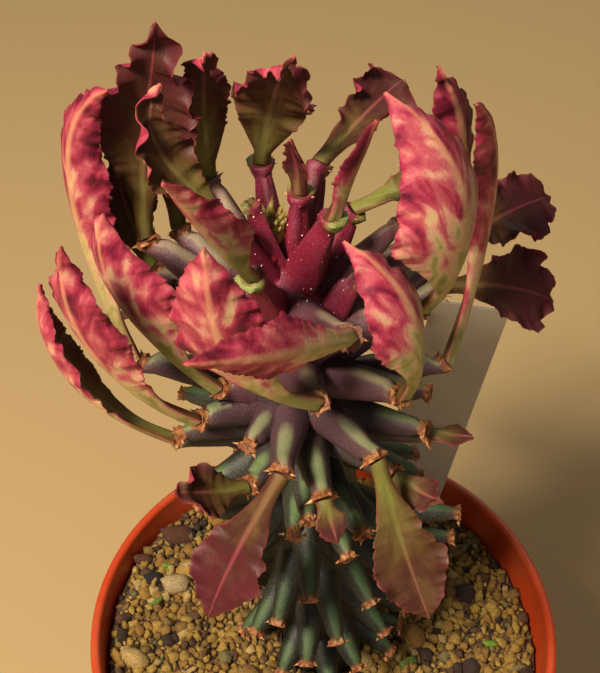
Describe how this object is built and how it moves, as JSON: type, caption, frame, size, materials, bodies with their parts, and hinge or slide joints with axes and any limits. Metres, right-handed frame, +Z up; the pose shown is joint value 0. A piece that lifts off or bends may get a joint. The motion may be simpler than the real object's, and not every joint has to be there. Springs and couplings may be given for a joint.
{
  "type": "potted euphorbia",
  "caption": "Potted euphorbia: a thick stem of spiny tubercles under a crown of incurved, wavy-edged fleshy leaves, in gritty soil in a round plastic pot with a blank label.",
  "frame": {"origin": "centre of the pot's flat underside", "axes": "+Z up, along the pot's axis; -Y towards the front of the plant, +X to its right"},
  "size_m": [0.1, 0.1059, 0.2307],
  "materials": {
    "pot": "moulded orange-red plastic, satin",
    "soil": "loose tan and ochre grit",
    "label": "white plastic strip, satin",
    "stem": "waxy green skin, crimson at the top, with orange-brown scars",
    "leaf_outside": "waxy crimson skin mottled cream and green",
    "leaf_inside": "waxy olive and maroon skin"
  },
  "bodies": {
    "root": {"pot": "pot", "soil": "soil", "label": "label", "stem": "stem", "leaf_left_far": "leaf_outside", "leaf_left_keel": "leaf_outside", "leaf_left_broad": "leaf_outside", "leaf_left_low": "leaf_outside", "leaf_front_shield": "leaf_outside", "leaf_front_cross": "leaf_outside", "leaf_front_right": "leaf_outside", "leaf_right_great": "leaf_outside", "leaf_right_mid": "leaf_outside", "leaf_right_outer": "leaf_outside", "leaf_inner_pink": "leaf_outside", "leaf_young_left": "leaf_outside", "leaf_young_right": "leaf_outside", "leaf_back_high": "leaf_inside", "leaf_back_low": "leaf_inside", "leaf_back_great": "leaf_inside", "leaf_back_green": "leaf_inside", "leaf_back_mid": "leaf_inside", "leaf_back_right": "leaf_inside", "leaf_inner_curl": "leaf_inside", "leaf_droop_left": "leaf_inside", "leaf_droop_right": "leaf_inside", "leaf_stub_left": "leaf_inside", "leaf_stub_right": "leaf_inside", "leaf_bud_right": "leaf_inside", "leaf_bud_front": "leaf_inside", "leaf_shade_left": "leaf_inside", "leaf_shade_mid": "leaf_inside", "leaf_mid_green": "leaf_inside", "leaf_rear_left": "leaf_inside", "leaf_rear_mid": "leaf_inside", "leaf_rear_right": "leaf_inside"}
  },
  "joints": []
}
